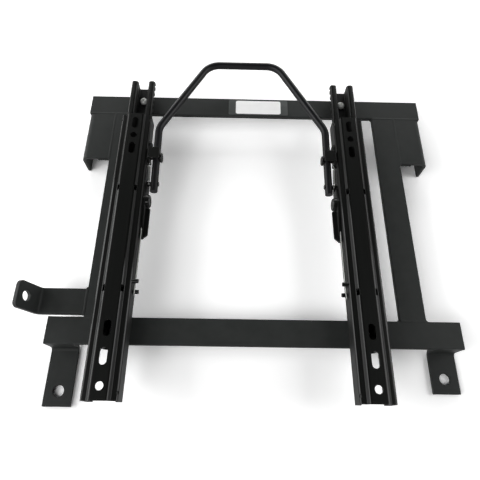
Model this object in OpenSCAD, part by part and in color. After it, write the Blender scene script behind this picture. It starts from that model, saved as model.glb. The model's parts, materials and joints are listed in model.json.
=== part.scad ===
// Car seat slide rail set on its base frame.
// Two roll-formed ball slides stand on a welded frame of flat bars. One bent bar under the front
// of the seat frees the lock levers of both slides.
// Millimetres. +Y is the front of the seat, +Z is up, and the frame stands on Z = 0.

/* [Frame bars] */
// Width of the flat bars
bar_w = 32; // [24:1:40]
// Thickness of the flat bars
bar_t = 6; // [5:0.5:8]
// Radius of the rolled edges of the flat bars
bar_edge = 1.2; // [0.5:0.1:2]
// Height of the bar tops over the floor
bar_top = 33; // [26:1:60]
// Near edge of the rear bar, from the rear end of the upper rails
rear_bar_y = 62; // [56:1:80]
// Clear length between the rear bar and the front bar
bar_gap = 300; // [270:1:310]
// Reach of the rear bar to the left of the middle line
rear_bar_left = 225; // [210:1:260]
// Reach of the rear bar to the right of the middle line
rear_bar_right = 261; // [240:1:300]
// Reach of the front bar to the left of the middle line
front_bar_left = 222; // [205:1:260]
// Reach of the front bar to the right of the middle line
front_bar_right = 260; // [245:1:300]
// Left side bar, from the middle line to its inner edge
left_side_in = 152; // [140:1:165]
// Right side bar, from the middle line to its inner edge
right_side_in = 189.5; // [170:0.5:200]
// Leg of the weld fillets in the corners between the bars
weld_leg = 4; // [2:0.5:8]

/* [Feet, brackets and belt tab] */
// Thickness of the feet and of the belt tab
plate_t = 5; // [3:0.5:6]
// Thickness of the front brackets
bracket_t = 4; // [3:0.5:6]
// Inside radius of the plate bends
plate_bend = 4; // [2:0.5:8]
// Length of the front brackets
bracket_len = 78; // [40:1:120]
// Reach of the left rear foot behind the rear bar
left_foot_len = 66; // [40:1:90]
// Reach of the right rear foot behind the rear bar
right_foot_len = 47; // [40:1:90]
// Diameter of the holes in the feet
foot_hole_d = 13; // [7:0.5:16]
// From the end of a foot to the middle of its hole
foot_hole_edge = 17; // [12:0.5:24]
// Flat length of the belt tab from the side bar to its bend
tab_flat = 56; // [30:1:90]
// Rise of the belt tab over its flat part
tab_rise = 36; // [24:1:50]
// Lean of the belt tab away from upright
tab_lean = 18; // [0:1:40]
// Diameter of the belt tab hole
tab_hole_d = 12; // [8:0.5:14]
// Corner radius at the tip of the belt tab
tab_corner = 6; // [2:0.5:10]

/* [Rails] */
// Distance between the middles of the two rails
rail_pitch = 290; // [270:1:310]
// Length of the upper rails
upper_len = 368; // [356:1:400]
// Length of the lower rails
lower_len = 382; // [366:1:420]
// From the rear end of the upper rails to the rear end of the lower rails
set_back = 56; // [40:1:66]
// Sheet thickness of the rails
sheet_t = 2.5; // [1.8:0.1:2.6]
// Inside radius of the rail bends
sheet_bend = 1; // [0.6:0.1:1.4]
// Overall width of the upper rails
upper_w = 40; // [39:0.5:46]
// Outside width of the lower rail channel
channel_w = 20; // [18:0.5:21]
// Height of the lower rails
channel_h = 19.5; // [18:0.5:22]
// Depth of the lips that hang outside the lower rail channel
lip_drop = 9; // [7:0.5:10]
// Flat width of the raised middle of the upper rails
hat_w = 18; // [14:0.5:19]
// Height of the raised middle over the ledges
hat_h = 4.2; // [2.5:0.1:6]
// Plan width of the slanted step beside the raised middle
hat_step = 3.2; // [2:0.1:3.6]
// Height of the upper rail lips over the frame bars
foot_gap = 4.2; // [2:0.1:5]
// Side clearance between the upper walls and the lower lips
side_gap = 0.6; // [0.4:0.1:1.2]

/* [Seat holes] */
// Diameter of the round seat holes
seat_hole_d = 9; // [6:0.5:11]
// Width of the seat slots
slot_w = 8.5; // [6:0.5:10]
// Length of the seat slots
slot_len = 18; // [12:1:24]
// Front round hole, from the rear end of the upper rail
front_hole_y = 332; // [310:1:336]
// Rear round hole, from the rear end of the upper rail
rear_hole_y = 14.5; // [10:0.5:25]
// Distance from the front round hole to the slots on both sides of it
front_slot_step = 20.5; // [18:0.5:24]
// Distance from the rear round hole to the next slots
rear_slot_step = 30; // [22:1:36]

/* [Balls and cages] */
// Diameter of the balls
ball_d = 6; // [4.5:0.25:6.5]
// Balls in one cage
balls_per_cage = 4; // [2:1:8]
// Length of a ball cage
cage_len = 200; // [120:5:220]
// Rear end of the cages, from the rear end of the upper rails
cage_y = 110; // [90:1:130]
// Thickness of the cage strip
cage_t = 1; // [0.6:0.1:1.6]

/* [Release bar] */
// Diameter of the release bar
rod_d = 10; // [8:0.5:12]
// Inside radius of the bends in the release bar
rod_bend = 22; // [12:1:30]
// Width of the straight grip between its bend points
grip_w = 98; // [70:1:140]
// Grip, from the pivot to its middle line
grip_reach = 154; // [120:1:200]
// Leg bends, from the pivot
leg_bend_reach = 47; // [40:1:70]
// Rise of the grip over the pivot
grip_rise = 12; // [4:0.5:24]
// Legs behind the pivot
leg_tail = 50; // [46:1:56]
// Space between the rail wall and the legs
leg_gap = 6; // [5.6:0.1:9]
// Height of the pivot over the frame bars
pivot_h = 19; // [17:0.5:20]
// Pivot, from the rear end of the upper rails
pivot_y = 305; // [290:1:315]

/* [Lock levers] */
// Thickness of the lever plates
lever_t = 3; // [2:0.1:4]
// Pitch of the lock notches
notch_pitch = 10; // [9:1:14]
// Width of a lock tooth
tooth_w = 4; // [3:0.25:5]
// Depth of the lock notches
notch_depth = 4.5; // [4:0.1:5.5]
// Distance from the release pivot back to the cross pins
pin_arm = 39; // [34:0.5:44]
// Distance from the lever pivot forward to the cross pins
lever_arm = 26; // [24:0.5:32]
// Length of the lever tails behind the lever pivot
tail_len = 52; // [40:1:70]
// Diameter of the pins and pivot bolts
pin_d = 6; // [4:0.5:7]
// Front stud of a wire spring, from the rear end of the upper rails
anchor_front_y = 130.5; // [115:0.5:150]
// Distance between the two studs of a wire spring
anchor_step = 11; // [8:0.5:16]

/* [Hidden] */
$fn = 48;

// Colours of the coatings and metals
COATED = "#2A2C2B";
ECOAT = "#1B1C1B";
ZINC = "#B9BBB8";
STEEL = "#8D8F8E";

// Which side of the middle line a rail is on
LEFT = -1;
RIGHT = 1;

// Overlap of cutting tools past the faces that they cut
over = 1;
// Radial room of a shank in its hole
fit_gap = 0.05;
// Room between pieces that slide or swing past each other
run_gap = 0.3;
// Segments in a sheet bend
bend_steps = 5;
// A bent stretch of round bar is this much thicker, and laps the straight ones by this angle
bend_swell = 0.04;
bend_lap = 0.05;

// Frame lines
front_bar_y = rear_bar_y + bar_w + bar_gap;
right_side_out = right_side_in + bar_w;
left_side_out = left_side_in + bar_w;

// Belt tab, whose underside is level with the undersides of the bars
tab_gap = 2.5;
tab_y = rear_bar_y + bar_w + tab_gap;
tab_mid = bar_top - bar_t + plate_t / 2;
tab_tip_run = tab_rise * tan(tab_lean);
tab_bend_x = -left_side_out - tab_flat;
tab_hole_edge = 14;

// Rail section, measured from the rail middle and the bar tops
wall_out = upper_w / 2;
wall_in = wall_out - sheet_t;
lip_out = wall_in - side_gap;
lip_in = lip_out - sheet_t;
lip_low = channel_h - lip_drop;
ball_gap = 0.1;
ledge_low = channel_h + ball_d + 2 * ball_gap;
ledge_top = ledge_low + sheet_t;
rail_top = ledge_top + hat_h;
ball_x = wall_in - run_gap - ball_d / 2;
ball_z = channel_h + ball_gap + ball_d / 2;
cage_gap = 0.5;
foot_room = 2.5;

// Lanced stops in the slanted steps, and stake marks on the ledge bends near the rail ends
stop_ys = [120, 252];
stop_len = 8;
stop_room = 0.1;
stop_in = hat_w / 2 - stop_room;
stop_out = hat_w / 2 + hat_step + stop_room;
tongue_t = 1.5;
tongue_out = ball_x - ball_d / 2 - run_gap;
tongue_gap = 1;
stake_y = 8;
stake_r = 2.6;

// Release bar and pins, in the rail's own frame where +X points to the middle of the seat
leg_x = wall_out + leg_gap + rod_d / 2;
grip_tilt = atan2(grip_rise, grip_reach);
pin_y = pivot_y - pin_arm * cos(grip_tilt);
pin_z = pivot_h - pin_arm * sin(grip_tilt);
pin_gap = 0.8;
pin_proud = 1;
grip_y = pivot_y + grip_reach;

// Lock lever, whose pivot is level with the cross pin at rest
lever_gap = 0.5;
lever_y = pin_y - lever_arm;
lever_z = pin_z;
lever_in = wall_out + lever_gap;
lever_out = lever_in + lever_t;
lever_hub_r = 9;
horn_gap = 3;
horn_w = 5;
horn_h = 6.5;
nose_len = 5;
pad_len = 14;
pad_slope = 4;
pad_rise = 2;
tail_over = 4;
tail_under = 3;
belly_back = 4;
belly_slope = 16;
fold_reach = 5.5;
fold_room = 2;

// Lock teeth under the notched lip, with their forward drift as they swing up into the notches
tooth_clear = 0.4;
tooth_past = 0.8;
tooth_ahead = 14;
tooth_drift = 0.6;
tooth_top = lip_low - tooth_clear;
tooth_reach = lip_in - tooth_past;
tooth_y = lever_y + tooth_ahead;
lever_low = tooth_top - lever_t;
notch_room = 1;
notch_w = tooth_w + 2 * notch_room;
notches_behind = 6;

// Windows in the inner wall of the upper rail for the lock teeth
window_room = 3.25;
window_over = 0.5;
window_y = tooth_y - tooth_w / 2 - window_room;
window_len = notch_pitch + tooth_w + 2 * window_room;
window_top = lip_low + notch_depth + window_over;

// Pivot bracket, a plate that hooks over the leg of the release bar, with a riveted tongue in front
ear_r = 9;
hook_room = 4.5;
hook_back = 6.5;
hook_len = 16;
hook_out = leg_x + rod_d / 2;
hook_top = pivot_h + rod_d / 2 + hook_room + sheet_t;
hook_y = pivot_y - hook_back;
hook_front = hook_y + hook_len;
rivet_d = 5;
rivet_edge = 3.5;
rivet_head_d = 8.5;
rivet_head_h = 1.6;
rivet_y = hook_front + 2 * rivet_d;
bolt_head_d = 13;
bolt_head_h = 2.5;
lever_boss = 3;
lever_head_d = 16;
lever_head_h = 1.6;

// Return springs between the cross pins and studs on the rail walls
coil_wire = 0.9;
coil_d = 5;
coil_turns = 15;
coil_steps = 8;
loop_steps = 10;
loop_sweep = 280;
loop_gap = 1.2;
coil_x = wall_out + leg_gap / 2;
loop_x = lever_out + loop_gap;
stud_d = 3.6;
stud_back = 12;
stud_rise = 4;
stud_y = pivot_y - stud_back;
stud_z = pivot_h + stud_rise;

// Straight wire springs over the lever tails, each held between two studs
wire_d = 2;
wire_end = 6;
wire_lap = 12;
wire_x = (lever_in + lever_out) / 2;
wire_z = lever_z + tail_over + run_gap / 2 + wire_d / 2;
anchor_d = 5;
anchor_proud = 3;
anchor_out = lever_out + anchor_proud;
anchor_lift = (anchor_d + wire_d) / 2;

// Bolts through the lower rails and the frame bars
rail_bolt_d = 6;
rail_bolt_head_d = 11;
rail_bolt_head_h = 4.5;
rail_bolt_proud = 1;
nut_across = 10;
nut_h = 5;
front_bolt_shift = 4;
rail_bolt_ys = [rear_bar_y + bar_w / 2, front_bar_y + bar_w / 2 + front_bolt_shift];

// Place of the part's origin, under the middle of its bounding box
x_low = tab_bend_x - tab_tip_run - plate_t * cos(tab_lean) / 2;
mid_x = (x_low + rear_bar_right) / 2;
y_low = min(0, rear_bar_y - left_foot_len);
mid_y = (y_low + grip_y + rod_d / 2) / 2;

// Plane vectors
function unit(v) = v / norm(v);
function left_of(v) = [-v[1], v[0]];
function turned(v, a) = [v[0] * cos(a) - v[1] * sin(a), v[0] * sin(a) + v[1] * cos(a)];
function turn_between(a, b) = atan2(a[0] * b[1] - a[1] * b[0], a * b);

// Middle of the arc that rounds the corner p1 with radius r
function arc_middle(p0, p1, p2, r) =
    let (d = unit(p1 - p0))
    let (a = turn_between(d, unit(p2 - p1)))
    p1 - d * r * tan(abs(a) / 2) + left_of(d) * sign(a) * r;

// Points along one face of a bend, at a distance off to the left of the middle of the sheet
function bend_points(p0, p1, p2, off, r) =
    let (d = unit(p1 - p0))
    let (a = turn_between(d, unit(p2 - p1)))
    let (c = arc_middle(p0, p1, p2, r))
    [for (k = [0 : bend_steps])
        c - turned(left_of(d), a * k / bend_steps) * sign(a) * (r - sign(a) * off)];

// Points along one face of a folded sheet whose middle follows path
function face_points(path, off, r) =
    let (n = len(path) - 1)
    concat(
        [path[0] + left_of(unit(path[1] - path[0])) * off],
        [for (i = [1 : n - 1]) each bend_points(path[i - 1], path[i], path[i + 1], off, r)],
        [path[n] + left_of(unit(path[n] - path[n - 1])) * off]);

function reversed(list) = [for (i = [len(list) - 1 : -1 : 0]) list[i]];
function mirrored(path) = [for (p = reversed(path)) [-p[0], p[1]]];

// Section of a folded sheet of thickness t and inside bend radius r
module folded_section(path, t, r) {
    polygon(concat(face_points(path, t / 2, r + t / 2), reversed(face_points(path, -t / 2, r + t / 2))));
}

// Extrusions of an XZ section along Y and of a YZ section along X
module along_y(y, length) {
    translate([0, y + length, 0]) rotate([90, 0, 0]) linear_extrude(length) children();
}
module along_x(x, length) {
    translate([x, 0, 0]) rotate([90, 0, 90]) linear_extrude(length) children();
}

// A round bar along X from x to x + length
module x_rod(x, length, y, z, d) {
    translate([x, y, z]) rotate([0, 90, 0]) cylinder(d = d, h = length);
}

// A round bar along Z from z to z + length
module z_rod(x, y, z, length, d) {
    translate([x, y, z]) cylinder(d = d, h = length);
}

// Moves the frame so that the part's origin is under the middle of its box
module on_floor() {
    translate([-mid_x, -mid_y, 0]) children();
}

// Puts a rail's own frame in place, with +X towards the middle of the seat
module at_rail(side) {
    on_floor() translate([side * rail_pitch / 2, 0, bar_top])
        if (side == RIGHT) mirror([1, 0, 0]) children();
        else children();
}

// Quarter arc of radius r about the point c, from angle a
function quarter_arc(c, r, a) =
    [for (k = [0 : bend_steps]) let (t = a + 90 * k / bend_steps) c + r * [cos(t), sin(t)]];

// Section of a flat bar with its rolled edges, about its middle
module bar_section() {
    u = bar_w / 2 - bar_edge;
    v = bar_t / 2 - bar_edge;
    polygon(concat(
        quarter_arc([u, v], bar_edge, 0),
        quarter_arc([-u, v], bar_edge, 90),
        quarter_arc([-u, -v], bar_edge, 180),
        quarter_arc([u, -v], bar_edge, 270)));
}

// A flat bar along X with holes for the rail bolts at bolt_y
module crossbar(left, right, y, bolt_y) {
    shank_hole = rail_bolt_d + 2 * fit_gap;
    color(COATED) on_floor() difference() {
        along_x(-left, left + right) translate([y + bar_w / 2, bar_top - bar_t / 2]) bar_section();
        for (side = [LEFT, RIGHT])
            z_rod(side * rail_pitch / 2, bolt_y, bar_top - bar_t - over, bar_t + 2 * over, shank_hole);
    }
}

// A flat bar along Y between the crossbars, with its left edge at x
module side_bar(x) {
    color(COATED) on_floor() along_y(rear_bar_y + bar_w, bar_gap)
        translate([x + bar_w / 2, bar_top - bar_t / 2]) bar_section();
}

module front_crossbar() {
    crossbar(front_bar_left, front_bar_right, front_bar_y, rail_bolt_ys[1]);
}

module rear_crossbar() {
    crossbar(rear_bar_left, rear_bar_right, rear_bar_y, rail_bolt_ys[0]);
}

module left_side_bar() {
    side_bar(-left_side_out);
}

module right_side_bar() {
    side_bar(right_side_in);
}

// A plate from a side bar out to a flange that stands on the floor
module front_bracket(inner, outer) {
    flange = outer - sign(outer) * bracket_t / 2;
    web = bar_top - bracket_t / 2;
    along_y(front_bar_y - bracket_len, bracket_len)
        folded_section([[inner, web], [flange, web], [flange, 0]], bracket_t, plate_bend);
}

module left_front_bracket() {
    color(COATED) on_floor() front_bracket(-left_side_out, -front_bar_left);
}

module right_front_bracket() {
    color(COATED) on_floor() front_bracket(right_side_out, front_bar_right);
}

// A strap that drops from under the rear bar and turns back along the floor
module rear_foot(x, reach) {
    back = rear_bar_y - reach;
    difference() {
        along_x(x, bar_w)
            folded_section([
                [rear_bar_y + plate_t / 2, bar_top - bar_t],
                [rear_bar_y + plate_t / 2, plate_t / 2],
                [back, plate_t / 2]
            ], plate_t, plate_bend);
        z_rod(x + bar_w / 2, back + foot_hole_edge, -over, plate_t + 2 * over, foot_hole_d);
    }
}

module left_rear_foot() {
    color(COATED) on_floor() rear_foot(-rear_bar_left, left_foot_len);
}

module right_rear_foot() {
    color(COATED) on_floor() rear_foot(rear_bar_right - bar_w, right_foot_len);
}

// A square block with a round side, to cut one corner of a plate
module corner_cut(r, t) {
    linear_extrude(t) difference() {
        square(r + over);
        circle(r);
    }
}

// A strap from the left side bar whose end turns up for the belt buckle
module belt_tab() {
    slope_len = tab_rise / cos(tab_lean);
    color(COATED) on_floor() difference() {
        along_y(tab_y, bar_w)
            folded_section([
                [-left_side_out, tab_mid],
                [tab_bend_x, tab_mid],
                [tab_bend_x - tab_tip_run, tab_mid + tab_rise]
            ], plate_t, plate_bend);
        // Turned so that X runs up the sloping end and Z through its thickness
        translate([tab_bend_x, tab_y + bar_w / 2, tab_mid]) rotate([0, -90 - tab_lean, 0]) {
            z_rod(slope_len - tab_hole_edge, 0, -plate_t, 2 * plate_t, tab_hole_d);
            for (end = [0, 1]) mirror([0, end, 0])
                translate([slope_len - tab_corner, bar_w / 2 - tab_corner, -plate_t])
                    corner_cut(tab_corner, 2 * plate_t);
        }
    }
}

// A fillet of weld metal that stands in the inner corner between two bars
module corner_fillet(x, y, toward_x, toward_y) {
    translate([x, y, bar_top - bar_t + bar_edge])
        mirror([toward_x < 0 ? 1 : 0, 0, 0]) mirror([0, toward_y < 0 ? 1 : 0, 0])
            linear_extrude(bar_t - 2 * bar_edge) difference() {
                square(weld_leg);
                translate([weld_leg, weld_leg]) circle(weld_leg);
            }
}

module weld_fillets() {
    near = rear_bar_y + bar_w;
    color(COATED) on_floor() {
        corner_fillet(right_side_in, near, -1, 1);
        corner_fillet(right_side_out, near, 1, 1);
        corner_fillet(-left_side_in, near, 1, 1);
        corner_fillet(right_side_in, front_bar_y, -1, -1);
        corner_fillet(-left_side_in, front_bar_y, 1, -1);
    }
}

// A lower rail: a channel whose edges curl outwards and hang down, with lock notches inside
module lower_rail(side) {
    lip_x = (lip_in + lip_out) / 2;
    wall_x = channel_w / 2 - sheet_t / 2;
    curl_z = channel_h - sheet_t / 2;
    half = [[lip_x, lip_low], [lip_x, curl_z], [wall_x, curl_z], [wall_x, sheet_t / 2]];
    first_notch = tooth_y + tooth_drift - notch_pitch * notches_behind;
    notch_count = floor((set_back + lower_len - first_notch) / notch_pitch);
    at_rail(side) difference() {
        along_y(set_back, lower_len) folded_section(concat(half, mirrored(half)), sheet_t, sheet_bend);
        for (i = [0 : notch_count])
            translate([lip_in - over / 2, first_notch + i * notch_pitch - notch_w / 2, lip_low - over])
                cube([sheet_t + over, notch_w, notch_depth + over]);
        for (y = rail_bolt_ys)
            z_rod(0, y, -over, sheet_t + 2 * over, rail_bolt_d + 2 * fit_gap);
    }
}

module left_lower_rail() {
    color(ECOAT) lower_rail(LEFT);
}

module right_lower_rail() {
    color(ECOAT) lower_rail(RIGHT);
}

// A slot along Y through the raised middle
module seat_slot(y) {
    low = rail_top - sheet_t - over;
    depth = sheet_t + 2 * over;
    for (end = [-1, 1]) z_rod(0, y + end * (slot_len - slot_w) / 2, low, depth, slot_w);
    translate([-slot_w / 2, y - (slot_len - slot_w) / 2, low]) cube([slot_w, slot_len - slot_w, depth]);
}

// Lanced stops: a window in each slanted step, and the tongue bent down from its front edge
module stop_windows() {
    for (y = stop_ys, s = [0, 1]) mirror([s, 0, 0])
        translate([stop_in, y - stop_len / 2, ledge_low - over])
            cube([stop_out - stop_in, stop_len, rail_top]);
}

module stop_tongues() {
    low = ball_z + cage_t / 2 + tongue_gap;
    for (y = stop_ys, s = [0, 1]) mirror([s, 0, 0])
        translate([stop_in, y + stop_len / 2 - tongue_t, low])
            cube([tongue_out - stop_in, tongue_t, ledge_top - ball_z]);
}

// Stake marks, small round dents that close the ball tracks near the ends of the rail
module stake_marks() {
    for (y = [stake_y, upper_len - stake_y], s = [-1, 1])
        translate([s * wall_out, y, ledge_top]) sphere(stake_r);
}

// An upper rail: a raised middle, ledges over the balls, and walls whose lips turn in below
module upper_rail(side) {
    wall_x = wall_out - sheet_t / 2;
    foot_z = foot_gap + sheet_t / 2;
    ledge_z = ledge_low + sheet_t / 2;
    half = [
        [channel_w / 2 + foot_room, foot_z],
        [wall_x, foot_z],
        [wall_x, ledge_z],
        [hat_w / 2 + hat_step, ledge_z],
        [hat_w / 2, rail_top - sheet_t / 2]
    ];
    at_rail(side) {
        difference() {
            along_y(0, upper_len) folded_section(concat(half, mirrored(half)), sheet_t, sheet_bend);
            for (y = [front_hole_y, rear_hole_y])
                z_rod(0, y, rail_top - sheet_t - over, sheet_t + 2 * over, seat_hole_d);
            for (s = [-1, 1]) seat_slot(front_hole_y + s * front_slot_step);
            for (i = [1, 2]) seat_slot(rear_hole_y + i * rear_slot_step);
            stop_windows();
            stake_marks();
            translate([channel_w / 2 + over, window_y, foot_gap - over])
                cube([wall_out, window_len, window_top - foot_gap + over]);
            wall_hole(lever_y, lever_z, pin_d);
            wall_hole(pivot_y, pivot_h, pin_d);
            wall_hole(rivet_y, pivot_h, rivet_d);
            wall_hole(stud_y, stud_z, stud_d);
            wall_hole(anchor_front_y, wire_z + anchor_lift, anchor_d);
            wall_hole(anchor_front_y - anchor_step, wire_z - anchor_lift, anchor_d);
        }
        stop_tongues();
    }
}

// A hole through the inner wall of an upper rail for a shank of diameter d
module wall_hole(y, z, d) {
    x_rod(wall_in - over / 2, sheet_t + over, y, z, d + 2 * fit_gap);
}

module left_upper_rail() {
    color(ECOAT) upper_rail(LEFT);
}

module right_upper_rail() {
    color(ECOAT) upper_rail(RIGHT);
}

// Four screws that hold the lower rails on the bars
module rail_bolts() {
    shank = sheet_t + bar_t + nut_h + rail_bolt_proud;
    color(ZINC)
        for (side = [LEFT, RIGHT], y = rail_bolt_ys) at_rail(side) {
            z_rod(0, y, sheet_t, rail_bolt_head_h, rail_bolt_head_d);
            z_rod(0, y, sheet_t - shank, shank, rail_bolt_d);
        }
}

module rail_nuts() {
    color(ZINC)
        for (side = [LEFT, RIGHT], y = rail_bolt_ys) at_rail(side)
            translate([0, y, -bar_t - nut_h]) difference() {
                cylinder(d = nut_across / cos(30), h = nut_h, $fn = 6);
                z_rod(0, 0, -over, nut_h + 2 * over, rail_bolt_d + 2 * fit_gap);
            }
}

// Middle of ball i along the rail
function ball_y(i) = cage_y + cage_len * (i + 0.5) / balls_per_cage;

// A ball cage on one track: track is 1 for the inner one and -1 for the outer one
module ball_cage(side, track) {
    cage_in = channel_w / 2 + cage_gap;
    cage_out = wall_in - run_gap;
    color(STEEL) at_rail(side) mirror([track < 0 ? 1 : 0, 0, 0]) difference() {
        translate([cage_in, cage_y, ball_z - cage_t / 2]) cube([cage_out - cage_in, cage_len, cage_t]);
        for (i = [0 : balls_per_cage - 1])
            z_rod(ball_x, ball_y(i), ball_z - cage_t, 2 * cage_t, ball_d + 2 * fit_gap);
    }
}

module cage_balls(side, track) {
    color(ZINC) at_rail(side)
        for (i = [0 : balls_per_cage - 1])
            translate([track * ball_x, ball_y(i), ball_z]) sphere(d = ball_d);
}

module left_inner_cage() { ball_cage(LEFT, 1); }
module left_outer_cage() { ball_cage(LEFT, -1); }
module right_inner_cage() { ball_cage(RIGHT, 1); }
module right_outer_cage() { ball_cage(RIGHT, -1); }
module left_inner_balls() { cage_balls(LEFT, 1); }
module left_outer_balls() { cage_balls(LEFT, -1); }
module right_inner_balls() { cage_balls(RIGHT, 1); }
module right_outer_balls() { cage_balls(RIGHT, -1); }

// Side outline of the bracket: a round ear at the pivot under the square hook
module hook_side() {
    translate([pivot_y, pivot_h]) circle(ear_r);
    translate([pivot_y, pivot_h - ear_r]) square([hook_front - pivot_y, 2 * ear_r]);
    translate([hook_y, pivot_h]) square([hook_len, hook_top - pivot_h]);
}

// A bracket on the rail wall, hooked over the leg of the release bar
module pivot_bracket(side) {
    low = pivot_h - ear_r;
    wall_x = wall_out + sheet_t / 2;
    web_z = hook_top - sheet_t / 2;
    tongue_r = rivet_d / 2 + rivet_edge;
    color(ECOAT) at_rail(side) difference() {
        union() {
            intersection() {
                along_y(pivot_y - ear_r, ear_r + hook_front - pivot_y)
                    folded_section([[wall_x, low], [wall_x, web_z], [hook_out, web_z]], sheet_t, sheet_bend);
                along_x(wall_out, hook_out - wall_out) hook_side();
            }
            // Rounded tongue in front of the hook for the rivet
            x_rod(wall_out, sheet_t, rivet_y, pivot_h, 2 * tongue_r);
            translate([wall_out, hook_front - over, pivot_h - tongue_r])
                cube([sheet_t, rivet_y - hook_front + over, 2 * tongue_r]);
        }
        x_rod(wall_out - over, sheet_t + 2 * over, pivot_y, pivot_h, pin_d + 2 * fit_gap);
        x_rod(wall_out - over, sheet_t + 2 * over, rivet_y, pivot_h, rivet_d + 2 * fit_gap);
    }
}

module left_pivot_bracket() {
    pivot_bracket(LEFT);
}

module right_pivot_bracket() {
    pivot_bracket(RIGHT);
}

// A shank through the rail wall with a flat head from head_x outwards
module wall_pin(y, z, d, head_x, head_d, head_h) {
    x_rod(wall_in, head_x - wall_in + head_h / 2, y, z, d);
    x_rod(head_x, head_h, y, z, head_d);
}

module bracket_rivets() {
    color(ECOAT)
        for (side = [LEFT, RIGHT]) at_rail(side)
            wall_pin(rivet_y, pivot_h, rivet_d, wall_out + sheet_t, rivet_head_d, rivet_head_h);
}

module pivot_bolts() {
    color(ECOAT)
        for (side = [LEFT, RIGHT]) at_rail(side)
            wall_pin(pivot_y, pivot_h, pin_d, hook_out + run_gap, bolt_head_d, bolt_head_h);
}

module lever_pins() {
    color(ECOAT)
        for (side = [LEFT, RIGHT]) at_rail(side)
            wall_pin(lever_y, lever_z, pin_d, lever_out + lever_boss + run_gap, lever_head_d, lever_head_h);
}

// A round bar of diameter d along a plane path with bends of middle radius r
module bent_rod(path, d, r) {
    n = len(path) - 1;
    cuts = [for (i = [0 : n])
        i == 0 || i == n ? 0 :
            r * tan(abs(turn_between(path[i] - path[i - 1], path[i + 1] - path[i])) / 2)];
    for (i = [0 : n - 1]) {
        way = unit(path[i + 1] - path[i]);
        start = path[i] + way * cuts[i];
        span = norm(path[i + 1] - path[i]) - cuts[i] - cuts[i + 1];
        translate(start) rotate([0, 0, atan2(way[1], way[0])]) rotate([0, 90, 0]) cylinder(d = d, h = span);
    }
    for (i = [1 : n - 1]) {
        way = unit(path[i] - path[i - 1]);
        turn = turn_between(way, path[i + 1] - path[i]);
        out = -left_of(way) * sign(turn);
        translate(arc_middle(path[i - 1], path[i], path[i + 1], r))
            rotate([0, 0, atan2(out[1], out[0]) + min(turn, 0) - bend_lap])
                rotate_extrude(angle = abs(turn) + 2 * bend_lap)
                    translate([r, 0]) circle(d = d + bend_swell);
    }
}

// Puts the plane of the release bar through both pivots, tilted up to the grip
module in_bar_plane() {
    on_floor() translate([0, pivot_y, bar_top + pivot_h]) rotate([grip_tilt, 0, 0]) children();
}

module release_bar() {
    leg = rail_pitch / 2 - leg_x;
    reach = grip_reach / cos(grip_tilt);
    half = [[leg, -leg_tail], [leg, leg_bend_reach], [grip_w / 2, reach]];
    color(COATED) in_bar_plane() difference() {
        bent_rod(concat(half, mirrored(half)), rod_d, rod_bend + rod_d / 2);
        for (s = [-1, 1]) {
            x_rod(s * leg - rod_d, 2 * rod_d, 0, 0, pin_d + 2 * fit_gap);
            x_rod(s * leg - rod_d, 2 * rod_d, -pin_arm, 0, pin_d + 2 * fit_gap);
        }
    }
}

// Pins through the legs, over the noses of the lock levers
module cross_pins() {
    pin_in = wall_out + pin_gap;
    pin_out = leg_x + rod_d / 2 + pin_proud;
    color(ECOAT)
        for (side = [LEFT, RIGHT]) at_rail(side) x_rod(pin_in, pin_out - pin_in, pin_y, pin_z, pin_d);
}

// Side outline of a lock lever about its pivot, from the tail round to the nose under the cross pin
module lever_side() {
    low = lever_low - lever_z;
    nose_top = -pin_d / 2 - run_gap;
    nose_end = lever_arm + nose_len;
    horn = lever_arm - pin_d / 2 - horn_gap;
    circle(lever_hub_r);
    polygon([
        [-tail_len, -tail_under],
        [-tail_len, tail_over],
        [-tail_len + pad_len, tail_over],
        [-tail_len + pad_len + pad_slope, tail_over + pad_rise],
        [0, lever_hub_r],
        [horn - horn_w, horn_h],
        [horn, horn_h],
        [horn, nose_top],
        [nose_end, nose_top],
        [nose_end, low],
        [-belly_back, low],
        [-belly_back - belly_slope, -tail_under]
    ]);
}

// A fold outwards along the foot of the lever tail, with its rear corner cut away
module tail_fold() {
    front = -lever_head_d / 2 - fold_room;
    linear_extrude(lever_t) polygon([
        [lever_in, -tail_len],
        [lever_out, -tail_len],
        [lever_out + fold_reach, fold_reach - tail_len],
        [lever_out + fold_reach, front],
        [lever_in, front]
    ]);
}

// A lever plate beside the rail wall, with a boss at its pivot and teeth bent in under the notched lip
module lock_lever(side) {
    color(ECOAT) at_rail(side) difference() {
        union() {
            translate([0, lever_y, lever_z]) along_x(lever_in, lever_t) lever_side();
            translate([0, lever_y, lever_z - tail_under]) tail_fold();
            x_rod(lever_in, lever_t + lever_boss, lever_y, lever_z, 2 * lever_hub_r);
            for (i = [0, 1])
                translate([tooth_reach, tooth_y - tooth_w / 2 + i * notch_pitch, lever_low])
                    cube([lever_in - tooth_reach + over, tooth_w, lever_t]);
        }
        x_rod(lever_in - over / 4, lever_t + lever_boss + over / 2, lever_y, lever_z, pin_d + 2 * fit_gap);
    }
}

module left_lock_lever() {
    lock_lever(LEFT);
}

module right_lock_lever() {
    lock_lever(RIGHT);
}

// Unit vectors square to each tangent, carried along a path without twist
function carried(tangents, first) =
    [for (i = 0, v = first; i < len(tangents); i = i + 1,
        v = i < len(tangents) ? unit(v - tangents[i] * (v * tangents[i])) : v) v];

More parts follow.
